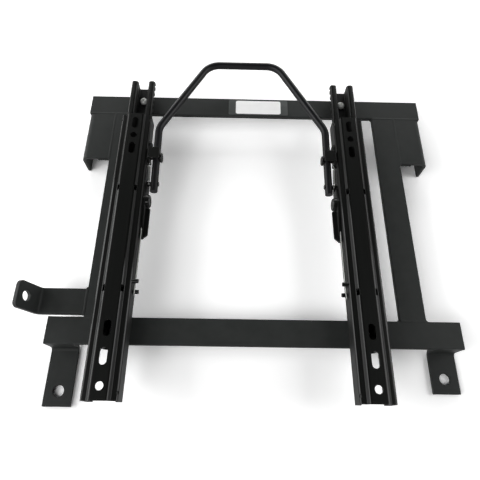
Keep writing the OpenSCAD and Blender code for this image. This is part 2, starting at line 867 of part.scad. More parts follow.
// A wire of diameter d swept along the points of a space path
module swept_wire(path, d) {
    sides = 6;
    n = len(path) - 1;
    tangents = [for (i = [0 : n]) unit(path[min(i + 1, n)] - path[max(i - 1, 0)])];
    ups = carried(tangents, unit(cross(tangents[0], [1, 0, 0])));
    points = [for (i = [0 : n], j = [0 : sides - 1])
        let (b = 360 * j / sides)
        path[i] + (ups[i] * cos(b) + cross(tangents[i], ups[i]) * sin(b)) * d / 2];
    walls = [for (i = [0 : n - 1], j = [0 : sides - 1])
        let (a = i * sides + j, b = i * sides + (j + 1) % sides)
        each [[a, a + sides, b + sides], [a, b + sides, b]]];
    caps = [
        [for (j = [0 : sides - 1]) j],
        [for (j = [sides - 1 : -1 : 0]) n * sides + j]
    ];
    polyhedron(points, concat(walls, caps));
}

// Open loop of radius r in the plane x, about the point y, swept from angle a to angle b
function loop_points(x, y, r, a, b) =
    [for (k = [0 : loop_steps]) let (t = a + (b - a) * k / loop_steps) [x, y + r * sin(t), r * cos(t)]];

// Coil of radius r about the Y axis from y to y + length
function coil_points(r, y, length) =
    let (count = coil_turns * coil_steps)
    [for (k = [0 : count]) let (t = 360 * k / coil_steps) [r * sin(t), y + length * k / count, r * cos(t)]];

// A tension spring from the cross pin up to a stud on the rail wall
module return_spring(side) {
    pin_loop = pin_d / 2 + run_gap + coil_wire / 2;
    stud_loop = stud_d / 2 + run_gap + coil_wire / 2;
    run = [stud_y - pin_y, stud_z - pin_z];
    span = norm(run);
    start = pin_loop + coil_wire;
    length = span - start - stud_loop - coil_wire;
    path = concat(
        loop_points(loop_x - coil_x, 0, pin_loop, -loop_sweep, 0),
        coil_points((coil_d - coil_wire) / 2, start, length),
        loop_points(loop_x - coil_x, span, stud_loop, 0, loop_sweep));
    color(STEEL) at_rail(side)
        translate([coil_x, pin_y, pin_z]) rotate([atan2(run[1], run[0]), 0, 0]) swept_wire(path, coil_wire);
}

module left_return_spring() {
    return_spring(LEFT);
}

module right_return_spring() {
    return_spring(RIGHT);
}

// A straight wire held between two studs, whose free end presses on the lever tail
module wire_spring(side) {
    back = anchor_front_y - anchor_step - wire_end;
    front = lever_y - tail_len + wire_lap;
    color(STEEL) at_rail(side)
        translate([wire_x, back, wire_z]) rotate([-90, 0, 0]) cylinder(d = wire_d, h = front - back);
}

module left_wire_spring() {
    wire_spring(LEFT);
}

module right_wire_spring() {
    wire_spring(RIGHT);
}

// Studs on the rail wall: two hold the wire spring and one takes the return spring
module spring_studs() {
    anchor_len = anchor_out - wall_in;
    color(ECOAT)
        for (side = [LEFT, RIGHT]) at_rail(side) {
            x_rod(wall_in, anchor_len, anchor_front_y, wire_z + anchor_lift, anchor_d);
            x_rod(wall_in, anchor_len, anchor_front_y - anchor_step, wire_z - anchor_lift, anchor_d);
            x_rod(wall_in, loop_x + coil_wire - wall_in, stud_y, stud_z, stud_d);
        }
}

front_crossbar();
rear_crossbar();
left_side_bar();
right_side_bar();
left_front_bracket();
right_front_bracket();
left_rear_foot();
right_rear_foot();
belt_tab();
weld_fillets();
left_lower_rail();
right_lower_rail();
left_upper_rail();
right_upper_rail();
rail_bolts();
rail_nuts();
left_inner_cage();
left_outer_cage();
right_inner_cage();
right_outer_cage();
left_inner_balls();
left_outer_balls();
right_inner_balls();
right_outer_balls();
left_pivot_bracket();
right_pivot_bracket();
bracket_rivets();
pivot_bolts();
release_bar();
cross_pins();
left_lock_lever();
right_lock_lever();
lever_pins();
left_return_spring();
right_return_spring();
left_wire_spring();
right_wire_spring();
spring_studs();
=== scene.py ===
# %% [markdown]
# # A pair of seat slides on a welded frame
#
# The object carries a car seat and lets it move to and fro. Two folded steel
# rails run on balls in two lower rails, a bent bar at the front unlocks both,
# and a frame of flat bars with two feet, two bent brackets and a belt tab fits
# them to a floor. The imported solids already have every piece at its real size
# and place, so this lesson gives them their edges, welds, turned heads, smooth
# copies of the springs, a bare label, and their finish.

# %% Load the imported model
import json
import math
import bmesh
import bpy
from mathutils import Matrix, Vector

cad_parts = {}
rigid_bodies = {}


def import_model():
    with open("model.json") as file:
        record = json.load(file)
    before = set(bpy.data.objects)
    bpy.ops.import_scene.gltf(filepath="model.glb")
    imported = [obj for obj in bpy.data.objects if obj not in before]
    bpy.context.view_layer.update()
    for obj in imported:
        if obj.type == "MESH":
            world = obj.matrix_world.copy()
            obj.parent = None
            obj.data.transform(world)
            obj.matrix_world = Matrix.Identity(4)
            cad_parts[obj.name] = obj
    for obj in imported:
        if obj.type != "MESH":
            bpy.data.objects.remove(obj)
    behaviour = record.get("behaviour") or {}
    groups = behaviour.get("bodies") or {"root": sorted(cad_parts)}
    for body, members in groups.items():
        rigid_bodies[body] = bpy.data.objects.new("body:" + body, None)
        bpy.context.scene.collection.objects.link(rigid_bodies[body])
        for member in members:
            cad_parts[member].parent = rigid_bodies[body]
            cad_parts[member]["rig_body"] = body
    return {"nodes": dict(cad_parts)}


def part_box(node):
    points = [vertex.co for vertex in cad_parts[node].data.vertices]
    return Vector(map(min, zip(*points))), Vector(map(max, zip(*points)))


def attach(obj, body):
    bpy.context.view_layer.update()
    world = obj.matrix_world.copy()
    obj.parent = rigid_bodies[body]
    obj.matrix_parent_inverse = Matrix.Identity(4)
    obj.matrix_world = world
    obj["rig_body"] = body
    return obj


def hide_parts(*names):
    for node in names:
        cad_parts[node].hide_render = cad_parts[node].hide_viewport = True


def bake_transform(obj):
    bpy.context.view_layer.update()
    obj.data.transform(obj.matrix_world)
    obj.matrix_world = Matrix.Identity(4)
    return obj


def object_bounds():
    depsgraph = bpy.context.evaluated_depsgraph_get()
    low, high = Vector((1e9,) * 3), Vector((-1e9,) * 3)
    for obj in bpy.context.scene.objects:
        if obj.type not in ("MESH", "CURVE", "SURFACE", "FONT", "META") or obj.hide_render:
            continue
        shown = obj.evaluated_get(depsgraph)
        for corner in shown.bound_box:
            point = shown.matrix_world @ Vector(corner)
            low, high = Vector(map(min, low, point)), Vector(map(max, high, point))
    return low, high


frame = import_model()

MM = 0.001
cad_low, cad_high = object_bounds()
print("CAD box in mm:", [round((b - a) / MM, 1) for a, b in zip(cad_low, cad_high)])

# %% [markdown]
# ## Colours and nodes
#
# A colour is given as an sRGB hex value, while a shader works in
# linear light, so one function turns the first into the second. A second one
# adds a node to any tree, sets its options, and fills or links its inputs. It
# serves the shader trees and the Geometry Nodes trees alike. A third starts a
# material, whose patterns all read the place on the object.

# %% Helpers for colours and nodes
def linear(hex_colour):
    """An sRGB hex colour as the linear RGBA list that a shader takes."""
    levels = [int(hex_colour[i:i + 2], 16) / 255 for i in (0, 2, 4)]
    return [v / 12.92 if v <= 0.04045 else ((v + 0.055) / 1.055) ** 2.4 for v in levels] + [1.0]


def add(tree, kind, settings=None, inputs=None):
    """Adds one node, sets its options, and gives each input a value or a link."""
    made = tree.nodes.new(kind)
    for name, value in (settings or {}).items():
        setattr(made, name, value)
    for name, value in (inputs or {}).items():
        if isinstance(value, bpy.types.NodeSocket):
            tree.links.new(value, made.inputs[name])
        else:
            made.inputs[name].default_value = value
    return made


def blank_material(name):
    """A material with an empty tree, and the socket that gives the place on the object in metres."""
    material = bpy.data.materials.new(name)
    material.use_nodes = True
    material.node_tree.nodes.clear()
    place = add(material.node_tree, "ShaderNodeTexCoord").outputs["Object"]
    return material, material.node_tree, place


print("mid grey 808080 is", round(linear("808080")[0], 3), "in linear light")

# %% [markdown]
# ## Powder coat on the welded frame
#
# The frame was sprayed with black powder and baked. The melt leaves a satin
# skin with a faint orange peel and soft cloudy patches. Real orange peel is
# about 1 mm wide, which is under a pixel here, so it is drawn a little wider.
# Noise drives the colour, the roughness and a shallow bump.

# %% Powder coated steel
PEEL_W = 2.2
CLOUD_W = 14.0
PEEL_DEPTH = 0.05


def powder_coat():
    """Satin black powder: clouded, slightly pebbled, with a broad soft sheen."""
    material, tree, place = blank_material("powder_coated_steel")
    cloud = add(tree, "ShaderNodeTexNoise",
                inputs={"Vector": place, "Scale": 1 / (CLOUD_W * MM), "Detail": 4.0, "Roughness": 0.6})
    peel = add(tree, "ShaderNodeTexNoise",
               inputs={"Vector": place, "Scale": 1 / (PEEL_W * MM), "Detail": 1.0})
    tint = add(tree, "ShaderNodeMix", {"data_type": "RGBA"},
               {0: cloud.outputs["Fac"], 6: linear("222423"), 7: linear("2C2E2D")})
    satin = add(tree, "ShaderNodeMapRange",
                inputs={"Value": cloud.outputs["Fac"], "To Min": 0.46, "To Max": 0.60})
    relief = add(tree, "ShaderNodeBump",
                 inputs={"Height": peel.outputs["Fac"], "Strength": 0.35, "Distance": PEEL_DEPTH * MM})
    shader = add(tree, "ShaderNodeBsdfPrincipled",
                 inputs={"Base Color": tint.outputs[2], "Roughness": satin.outputs["Result"],
                         "Normal": relief.outputs["Normal"], "Specular IOR Level": 0.18})
    add(tree, "ShaderNodeOutputMaterial", inputs={"Surface": shader.outputs[0]})
    return material


powder = powder_coat()
print("made", powder.name)

# %% [markdown]
# ## Electrocoat on the rails
#
# The rails were dipped in black electrocoat, a thin film that follows the steel
# under it. The flats keep the grain of the rolled sheet, the rollers have
# burnished the bends, and on slopes and walls the film drained thin and dry.
# So the way a face points sets its roughness: its rise, the Z of its normal, is
# 1 on a flat top, about 0.6 on a slope and 0 on a wall, with the bends between.
# The sheet was drawn lengthwise, and a noise that is stretched along Y gives
# its faint streaks to the colour, the gloss and a very shallow bump. The same
# nodes with softer values make the black enamel of the release bar.

# %% Electrocoated rail steel
STREAK_W = 1.6
STREAK_LEN = 120.0
STREAK_DEPTH = 0.02
WALL_RISE = 0.63
BEND_RISE = (0.70, 0.95)
FLAT_RISE = 0.99
DRAINED_ROUGH = 0.6
ROLLED_ROUGH = 0.30


def electrocoat(name, dark, pale, smooth, rough, mirror):
    """Thin black coat over drawn steel: darker and glossier than powder, streaked lengthwise."""
    material, tree, place = blank_material(name)
    along = add(tree, "ShaderNodeMapping",
                inputs={"Vector": place,
                        "Scale": (1 / (STREAK_W * MM), 1 / (STREAK_LEN * MM), 1 / (STREAK_W * MM))})
    streak = add(tree, "ShaderNodeTexNoise",
                 inputs={"Vector": along.outputs[0], "Scale": 1.0, "Detail": 2.0})
    tint = add(tree, "ShaderNodeMix", {"data_type": "RGBA"},
               {0: streak.outputs["Fac"], 6: linear(dark), 7: linear(pale)})
    gloss = add(tree, "ShaderNodeMapRange",
                inputs={"Value": streak.outputs["Fac"], "To Min": smooth, "To Max": rough})
    facing = add(tree, "ShaderNodeTexCoord")
    rise = add(tree, "ShaderNodeSeparateXYZ", inputs={"Vector": facing.outputs["Normal"]})
    drained = add(tree, "ShaderNodeMapRange",
                  inputs={"Value": rise.outputs["Z"], "From Min": WALL_RISE, "From Max": BEND_RISE[0],
                          "To Min": DRAINED_ROUGH, "To Max": 0.0})
    rolled = add(tree, "ShaderNodeMapRange",
                 inputs={"Value": rise.outputs["Z"], "From Min": BEND_RISE[1], "From Max": FLAT_RISE,
                         "To Min": 0.0, "To Max": ROLLED_ROUGH})
    flat = add(tree, "ShaderNodeMath", {"operation": "MAXIMUM"},
               {0: gloss.outputs["Result"], 1: rolled.outputs["Result"]})
    film = add(tree, "ShaderNodeMath", {"operation": "MAXIMUM"},
               {0: flat.outputs[0], 1: drained.outputs["Result"]})
    relief = add(tree, "ShaderNodeBump",
                 inputs={"Height": streak.outputs["Fac"], "Strength": 0.15,
                         "Distance": STREAK_DEPTH * MM})
    shader = add(tree, "ShaderNodeBsdfPrincipled",
                 inputs={"Base Color": tint.outputs[2], "Roughness": film.outputs[0],
                         "Normal": relief.outputs["Normal"], "Specular IOR Level": mirror})
    add(tree, "ShaderNodeOutputMaterial", inputs={"Surface": shader.outputs[0]})
    return material


rail_dip = electrocoat("electrocoated_rail_steel", "0A0B0A", "131413",
                       smooth=0.08, rough=0.12, mirror=0.26)
bar_enamel = electrocoat("enamelled_release_bar", "0E0E10", "161618",
                         smooth=0.28, rough=0.40, mirror=0.24)
print("made", rail_dip.name, "and", bar_enamel.name)

# %% [markdown]
# ## Bright metals
#
# The bolts are plated with bright zinc, the springs are drawn steel wire, and
# the balls are hardened and polished. All three are metal, so they share one
# function: the default IOR, and a grain that breaks the gloss, drawn coarser
# than the real one so that it shows. Colour, gloss and grain size differ, and so
# does the metallic value: the wire and the balls are bare, while the zinc, pale
# in itself, is made near white and mostly matt. That matt white is a painted
# reflection, which stands in for light from above.

# %% Zinc, spring wire and ball steel
def bright_metal(name, dark, pale, smooth, rough, grain, metallic=1.0):
    """Bright metal whose grain, given in mm, shifts its colour and gloss."""
    material, tree, place = blank_material(name)
    speck = add(tree, "ShaderNodeTexNoise",
                inputs={"Vector": place, "Scale": 1 / (grain * MM), "Detail": 3.0})
    tint = add(tree, "ShaderNodeMix", {"data_type": "RGBA"},
               {0: speck.outputs["Fac"], 6: linear(dark), 7: linear(pale)})
    gloss = add(tree, "ShaderNodeMapRange",
                inputs={"Value": speck.outputs["Fac"], "To Min": smooth, "To Max": rough})
    shader = add(tree, "ShaderNodeBsdfPrincipled",
                 inputs={"Base Color": tint.outputs[2], "Roughness": gloss.outputs["Result"],
                         "Metallic": metallic})
    add(tree, "ShaderNodeOutputMaterial", inputs={"Surface": shader.outputs[0]})
    return material


# Near white and only a fifth metallic: the zinc's brightness is partly its own pale colour and partly a
# painted reflection of light from above.
zinc_painted_reflection = bright_metal("bright_zinc_plate", "E4E6E2", "F8F9F6",
                          smooth=0.28, rough=0.46, grain=1.5, metallic=0.2)
spring_wire = bright_metal("drawn_spring_wire", "7C7E7B", "A3A5A1", smooth=0.28, rough=0.42, grain=0.9)
ball_steel = bright_metal("polished_ball_steel", "B4B6B5", "C9CBCA", smooth=0.06, rough=0.14, grain=2.0)
print("made", zinc_painted_reflection.name, spring_wire.name, ball_steel.name)

# %% [markdown]
# ## The finish of each solid
#
# A solid keeps its mesh and gets the finish of the real piece. The packed
# record has one slot for each family of finishes, and the pieces that look
# different within a slot are named here.

# %% Assign the finishes
SLOT_FINISH = {"powder_coat": powder, "rail_coat": rail_dip,
               "zinc": zinc_painted_reflection, "spring_steel": spring_wire}
OWN_FINISH = {"release_bar": bar_enamel}
OWN_FINISH.update({name: ball_steel for name in frame["nodes"] if name.endswith("_balls")})

slot_of = {name: solid.data.materials[0].name for name, solid in frame["nodes"].items()}
finish_of = {name: OWN_FINISH.get(name, SLOT_FINISH[slot]) for name, slot in slot_of.items()}
for name, solid in frame["nodes"].items():
    solid.material_slots[0].material = finish_of[name]
print("finishes on", len(finish_of), "solids")

# %% [markdown]
# ## Broken edges on the sheet and bar pieces
#
# No pressed or sawn edge is knife sharp, and the thin line of light along an
# edge is what tells the eye that it looks at steel. A copy of each solid has
# its loose triangles merged and its flat faces joined, and a Bevel modifier
# then rounds the sharp edges by a few tenths of a millimetre.

# %% Soften the edges
body_of = {name: solid["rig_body"] for name, solid in frame["nodes"].items()}
MERGE_DIST = 0.002
FLAT_ANGLE = math.radians(0.4)
SHARP_ANGLE = math.radians(40)
FULL_WEIGHT = 100


def merged_copy(name, ending):
    """A smooth copy of a solid, with its loose triangles merged and its flat faces joined."""
    shape = bmesh.new()
    shape.from_mesh(frame["nodes"][name].data)
    bmesh.ops.remove_doubles(shape, verts=shape.verts, dist=MERGE_DIST * MM)
    bmesh.ops.dissolve_limit(shape, angle_limit=FLAT_ANGLE, verts=shape.verts, edges=shape.edges)
    for face in shape.faces:
        face.smooth = True
    mesh = bpy.data.meshes.new(name + ending)
    shape.to_mesh(mesh)
    shape.free()
    mesh.materials.append(finish_of[name])
    piece = bpy.data.objects.new(name + ending, mesh)
    bpy.context.scene.collection.objects.link(piece)
    return piece


def softened(name, edge):
    """A copy of a solid with its edges rounded by edge mm, which stands for the solid."""
    piece = merged_copy(name, "_edged")
    bevel = piece.modifiers.new("broken_edges", "BEVEL")
    bevel.width = edge * MM
    bevel.segments = 2
    bevel.limit_method = "ANGLE"
    bevel.angle_limit = SHARP_ANGLE
    shading = piece.modifiers.new("flat_faces_stay_flat", "WEIGHTED_NORMAL")
    shading.weight = FULL_WEIGHT
    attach(piece, body_of[name])
    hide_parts(name)
    return piece


EDGE_MM = {"crossbar": 0.6, "side_bar": 0.6, "front_bracket": 0.6, "rear_foot": 0.6, "belt_tab": 0.6,
           "lower_rail": 0.4, "upper_rail": 0.4, "pivot_bracket": 0.4, "lock_lever": 0.4}
for name in frame["nodes"]:
    for kind, edge in EDGE_MM.items():
        if name.endswith(kind):
            made = softened(name, edge)
            print(made.name, len(made.data.polygons), "faces")

# %% [markdown]
# ## Weld beads
#
# The bars are joined by short arc welds. Under the frame each bead is a row of
# overlapping ripples, and on top it was ground almost flush, so that only a
# faint ridge shows through the coat. A Geometry Nodes tree sets a flattened
# ball at every step along a guide line, with a small random change of size.

# %% A tree that lays ripples along guide lines
RIPPLE_SIZES = (0.86, 1.1)


def new_tree(name, inputs):
    """A Geometry Nodes tree with a geometry input, the named inputs, and one output."""
    tree = bpy.data.node_groups.new(name, "GeometryNodeTree")
    tree.interface.new_socket("Guide", in_out="INPUT", socket_type="NodeSocketGeometry")
    for label, kind in inputs.items():
        tree.interface.new_socket(label, in_out="INPUT", socket_type=kind)
    tree.interface.new_socket("Geometry", in_out="OUTPUT", socket_type="NodeSocketGeometry")
    return tree, add(tree, "NodeGroupInput").outputs


def close_tree(tree, instances, material):
    """Ends a tree: instances become real, smooth up to their sharp edges, with one material."""
    real = add(tree, "GeometryNodeRealizeInstances", inputs={"Geometry": instances})
    smooth = add(tree, "GeometryNodeSetShadeSmooth", inputs={"Geometry": real.outputs[0]})
    fold = add(tree, "GeometryNodeInputMeshEdgeAngle")
    sharp = add(tree, "FunctionNodeCompare", {"operation": "GREATER_THAN"},
                {0: fold.outputs["Unsigned Angle"], 1: SHARP_ANGLE})
    crisp = add(tree, "GeometryNodeSetShadeSmooth", {"domain": "EDGE"},
                {"Geometry": smooth.outputs[0], "Selection": sharp.outputs[0], "Shade Smooth": False})
    coated = add(tree, "GeometryNodeSetMaterial",
                 inputs={"Geometry": crisp.outputs[0], "Material": material})
    add(tree, "NodeGroupOutput", inputs={"Geometry": coated.outputs[0]})


def weld_tree():
    """Ripples of one pitch, one flatness and nearly one size along every guide line."""
    tree, given = new_tree("weld_ripples", {
        "Radius": "NodeSocketFloat", "Pitch": "NodeSocketFloat", "Flatness": "NodeSocketFloat",
        "Seed": "NodeSocketInt", "Material": "NodeSocketMaterial"})
    line = add(tree, "GeometryNodeMeshToCurve", inputs={"Mesh": given["Guide"]})
    steps = add(tree, "GeometryNodeResampleCurve", {"mode": "LENGTH"},
                {"Curve": line.outputs[0], "Length": given["Pitch"]})
    ball = add(tree, "GeometryNodeMeshIcoSphere", inputs={"Radius": given["Radius"], "Subdivisions": 2})
    shape = add(tree, "ShaderNodeCombineXYZ", inputs={"X": 1.0, "Y": 1.0, "Z": given["Flatness"]})
    change = add(tree, "FunctionNodeRandomValue", {"data_type": "FLOAT"},
                 {"Min": RIPPLE_SIZES[0], "Max": RIPPLE_SIZES[1], "Seed": given["Seed"]})
    size = add(tree, "ShaderNodeVectorMath", {"operation": "SCALE"},
               {0: shape.outputs[0], "Scale": change.outputs[1]})
    ripples = add(tree, "GeometryNodeInstanceOnPoints",
                  inputs={"Points": steps.outputs[0], "Instance": ball.outputs[0],
                          "Scale": size.outputs[0]})
    close_tree(tree, ripples.outputs[0], given["Material"])
    return tree


ripple_tree = weld_tree()
print("tree", ripple_tree.name, "with", len(ripple_tree.nodes), "nodes")

# %% [markdown]
# A tree works on an object, so a guide mesh of bare points and lines gets the
# tree as a modifier, and the evaluated result is kept as a plain mesh. The lines
# come from the boxes of the bars, so that the beads follow a change of the
# frame: full beads underneath, at the feet and in the corners beside the
# brackets, and ground ones on top.

# %% Grow a piece from a guide
def grown(name, points, lines, tree, values, turns=None):
    """Runs a tree on a guide of points and lines, and keeps the result as a plain mesh."""
    guide = bpy.data.meshes.new(name + "_guide")
    guide.from_pydata(points, lines, [])
    if turns:
        spots = guide.attributes.new("turn", "FLOAT_VECTOR", "POINT")
        for spot, turn in zip(spots.data, turns):
            spot.vector = turn
    piece = bpy.data.objects.new(name, guide)
    bpy.context.scene.collection.objects.link(piece)
    growth = piece.modifiers.new("growth", "NODES")
    growth.node_group = tree
    for socket in tree.interface.items_tree:
        if socket.in_out == "INPUT" and socket.name in values:
            growth[socket.identifier] = values[socket.name]
    depsgraph = bpy.context.evaluated_depsgraph_get()
    mesh = bpy.data.meshes.new_from_object(piece.evaluated_get(depsgraph), depsgraph=depsgraph)
    piece.modifiers.clear()
    piece.data = mesh
    bpy.data.meshes.remove(guide)
    print(name, "has", len(mesh.polygons), "faces")
    return piece


# %% Guide lines along the seams
SEAM_END = 2.2


def row_along_x(node, y, z):
    """A seam under or over a node, across its width but for a bead's end at either edge."""
    low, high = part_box(node)
    return (low.x + SEAM_END * MM, y, z), (high.x - SEAM_END * MM, y, z)


NEAR_BEAD_LEN = 14.0
deep_seams, flush_seams = [], []
for side, outward in (("left", -1), ("right", 1)):
    bar_low, bar_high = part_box(side + "_side_bar")
    hook_low, hook_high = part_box(side + "_front_bracket")
    foot_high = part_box(side + "_rear_foot")[1]
    seam_x = bar_low.x if outward < 0 else bar_high.x
    for y in (bar_low.y, bar_high.y):
        deep_seams.append(row_along_x(side + "_side_bar", y, bar_low.z))
        flush_seams.append(row_along_x(side + "_side_bar", y, bar_high.z))
    deep_seams.append(row_along_x(side + "_rear_foot", foot_high.y, foot_high.z))
    flush_seams.append(row_along_x(side + "_front_bracket", hook_high.y, hook_high.z))
    flush_seams.append(((seam_x, hook_low.y, hook_high.z), (seam_x, hook_high.y, hook_high.z)))
    middle_z = (bar_low.z + bar_high.z) / 2
    near_end = seam_x + outward * NEAR_BEAD_LEN * MM
    deep_seams.append(((seam_x, hook_low.y, middle_z), (near_end, hook_low.y, middle_z)))
tab_low, tab_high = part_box("belt_tab")
for seams, z in ((deep_seams, tab_low.z), (flush_seams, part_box("left_side_bar")[1].z)):
    seams.append(((tab_high.x, tab_low.y, z), (tab_high.x, tab_high.y, z)))
print(len(deep_seams), "deep seams and", len(flush_seams), "ground seams")

# %% Lay the beads
RIPPLE_SEED = 7


def weld_row(name, seams, radius, pitch, flatness):
    """One piece with the beads of all those seams, on the frame."""
    points = [end for seam in seams for end in seam]
    lines = [(2 * k, 2 * k + 1) for k in range(len(seams))]
    piece = grown(name, points, lines, ripple_tree, {
        "Radius": radius * MM, "Pitch": pitch * MM, "Flatness": flatness,
        "Seed": RIPPLE_SEED, "Material": powder})
    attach(piece, "base")


weld_row("weld_beads", deep_seams, radius=2.0, pitch=1.7, flatness=0.8)
weld_row("ground_welds", flush_seams, radius=1.7, pitch=1.0, flatness=0.13)

# %% [markdown]
# ## Fasteners with turned heads
#
# A bolt, pin or rivet is a turned piece: every cross-section is a circle, apart
# from the six-sided socket of the rail bolts. Each is lofted from rings, and a
# second tree stands a copy on every place where the frame has such a fastener.

# %% Loft a fastener from rings
RING_STEPS = 36


def hexagon(apothem):
    """Radius of a six-sided ring at a turn in degrees."""
    return lambda turn: apothem / math.cos(math.radians((turn + 30) % 60 - 30))


def circle(radius):
    """Radius of a round ring, the same at every turn."""
    return lambda turn: radius


def lofted(name, rings, material):
    """A closed solid through rings of (radius rule, height) in mm along Z, from the bottom up."""
    shape = bmesh.new()
    turns = [360 * k / RING_STEPS for k in range(RING_STEPS)]
    rows = []
    for radius, height in rings:
        spots = [(radius(t) * math.cos(math.radians(t)), radius(t) * math.sin(math.radians(t)), height)
                 for t in turns]
        rows.append([shape.verts.new(Vector(spot) * MM) for spot in spots])
    for below, above in zip(rows, rows[1:]):
        for k in range(RING_STEPS):
            after = (k + 1) % RING_STEPS
            shape.faces.new((below[k], below[after], above[after], above[k]))
    shape.faces.new(reversed(rows[0]))
    shape.faces.new(rows[-1])
    mesh = bpy.data.meshes.new(name)
    shape.to_mesh(mesh)
    shape.free()
    mesh.materials.append(material)
    return bpy.data.objects.new(name, mesh)


print("every ring has", RING_STEPS, "points")

# %% A tree that stands copies on points
def copy_tree():
    """Copies of a pattern object on every point, each turned as the point's own attribute says."""
    tree, given = new_tree("copies_on_points", {
        "Pattern": "NodeSocketObject", "Material": "NodeSocketMaterial"})
    pattern = add(tree, "GeometryNodeObjectInfo", inputs={"Object": given["Pattern"]})
    turn = add(tree, "GeometryNodeInputNamedAttribute", {"data_type": "FLOAT_VECTOR"}, {"Name": "turn"})
    copies = add(tree, "GeometryNodeInstanceOnPoints",
                 inputs={"Points": given["Guide"], "Instance": pattern.outputs["Geometry"],
                         "Rotation": turn.outputs[0]})
    close_tree(tree, copies.outputs[0], given["Material"])
    return tree


stand_tree = copy_tree()
print("tree", stand_tree.name, "with", len(stand_tree.nodes), "nodes")


def fastened(name, rings, points, turns):
    """Copies of one lofted fastener on points, in place of the plain solids of that name."""
    pattern = lofted(name + "_pattern", rings, finish_of[name])
    piece = grown(name + "_turned", points, [], stand_tree,
                  {"Pattern": pattern, "Material": finish_of[name]}, turns)
    bpy.data.objects.remove(pattern)
    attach(piece, body_of[name])
    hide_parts(name)


# %% [markdown]
# The plain solids of a node show where its fasteners are. Their corners are
# sorted by side, and each group gives one box. A rail bolt stands upright on
# the sole of its rail, and a wall pin points to the middle of the seat.

# %% Rail bolts
def boxes_by_side(name, split_y):
    """Low and high corner of each solid of a node, sorted by its side and, if asked, by its end."""
    low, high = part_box(name)
    middle = (low + high) / 2
    groups = {}
    for corner in frame["nodes"][name].data.vertices:
        spot = corner.co
        groups.setdefault((spot.x > middle.x, split_y and spot.y > middle.y), []).append(spot)
    return {key: [Vector(pick(v[i] for v in spots) for i in range(3)) for pick in (min, max)]
            for key, spots in groups.items()}


# Radius and height of the rings of the screw's head, from its rim up to the mouth of its socket
SCREW_HEAD = [(5.3, 0.0), (5.5, 0.3), (5.4, 1.5), (4.9, 2.7), (4.0, 3.87), (3.0, 4.41), (2.5, 4.5)]
SCREW_HEAD_H = SCREW_HEAD[-1][1]
SCREW_SHANK_R = 3.0
SOCKET_APOTHEM = 2.0
SOCKET_TOP = 4.365
SOCKET_FLOOR = 1.8


def button_screw(shank_len):
    """Rings of a round-headed screw with a six-sided socket, whose head rests on height 0."""
    shank = [(circle(SCREW_SHANK_R), height) for height in (-shank_len, 0.0)]
    head = [(circle(radius), height) for radius, height in SCREW_HEAD]
    socket = [(hexagon(SOCKET_APOTHEM), height) for height in (SOCKET_TOP, SOCKET_FLOOR)]
    return shank + head + socket


spots = []
for low, high in boxes_by_side("rail_bolts", True).values():
    spots.append(((low.x + high.x) / 2, (low.y + high.y) / 2, high.z - SCREW_HEAD_H * MM))
# All rail bolts are equally long, so the last box gives the length
shank_len = (high.z - low.z) / MM - SCREW_HEAD_H
fastened("rail_bolts", button_screw(shank_len), spots, [(0, 0, 0)] * len(spots))

# %% Pins, pivot bolts and rivets
PIN_RIM = 0.7
DIMPLE_MOUTH = 0.4
DIMPLE_FLOOR = 0.3
DIMPLE_DEPTH = 0.6
DOME_ANGLES = (0.0, 0.4, 0.8, 1.2, 1.5)


def wall_rings(length, shank, head, head_h):
    """Rings of a flat-headed pin with a broken rim and a shallow dimple, a share of its head wide."""
    seat = length - head_h
    return [(circle(shank), 0.0), (circle(shank), seat),
            (circle(head), seat), (circle(head), length - PIN_RIM), (circle(head - PIN_RIM), length),
            (circle(DIMPLE_MOUTH * head), length), (circle(DIMPLE_FLOOR * head), length - DIMPLE_DEPTH)]


def rivet_rings(length, shank, head, head_h):
    """Rings of a rivet with a domed head."""
    seat = length - head_h
    dome = [(circle(head * math.cos(angle)), seat + head_h * math.sin(angle)) for angle in DOME_ANGLES]
    return [(circle(shank), 0.0), (circle(shank), seat)] + dome


# The rule for the rings, the radius of the shank and of the head, and the height of the head
WALL_PINS = {"lever_pins": (wall_rings, 3.0, 8.0, 1.6),
             "pivot_bolts": (wall_rings, 3.0, 6.5, 2.5),
             "bracket_rivets": (rivet_rings, 2.5, 4.25, 1.6)}
for name, (rings, shank, head, head_h) in WALL_PINS.items():
    spots, turns = [], []
    for (is_right, _), (low, high) in boxes_by_side(name, False).items():
        spots.append((high.x if is_right else low.x, (low.y + high.y) / 2, (low.z + high.z) / 2))
        turns.append((0.0, math.radians(-90 if is_right else 90), 0.0))
        length = (high.x - low.x) / MM
    fastened(name, rings(length, shank, head, head_h), spots, turns)

# %% [markdown]
# ## Spring copies
#
# On each side a coil spring pulls the cross pin up to a stud, and a straight
# wire presses on the tail of the lock lever. As the bar swings, the coil gets
# longer or shorter and the wire bends, which a rigid solid can't do. Here a
# copy of each takes its place, a smooth merged copy of the coil and a lofted
# rod for the wire, but the copies stay rigid and do not follow the moving pieces.

# %% Coil springs
def sprung(piece, name, moving):
    """Bakes a spring copy into place and hides the solid that it stands for."""
    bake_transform(piece)
    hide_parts(name)
    print(piece.name, "gives between", body_of[name], "and", moving)


for side in ("left", "right"):
    name = side + "_return_spring"
    low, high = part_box(name)
    sprung(merged_copy(name, "_coil"), name, "handle")

# %% Wire springs
WIRE_STEP = 3.0
WIRE_TIP = 0.7
for side in ("left", "right"):
    name = side + "_wire_spring"
    low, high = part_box(name)
    middle = (low + high) / 2
    radius = (high.x - low.x) / 2 / MM
    length = (high.y - low.y) / MM
    count = round(length / WIRE_STEP)
    body = [(circle(radius), length * k / count) for k in range(1, count)]
    tip = circle(WIRE_TIP * radius)
    wire = lofted(name + "_drawn", [(tip, 0.0), *body, (tip, length)], finish_of[name])
    upright_to_along = Matrix.Rotation(math.radians(-90), 4, "X")
    wire.data.transform(Matrix.Translation((middle.x, low.y, middle.z)) @ upright_to_along)
    wire.data.shade_smooth()
    bpy.context.scene.collection.objects.link(wire)
    sprung(wire, name, side + "_lever")

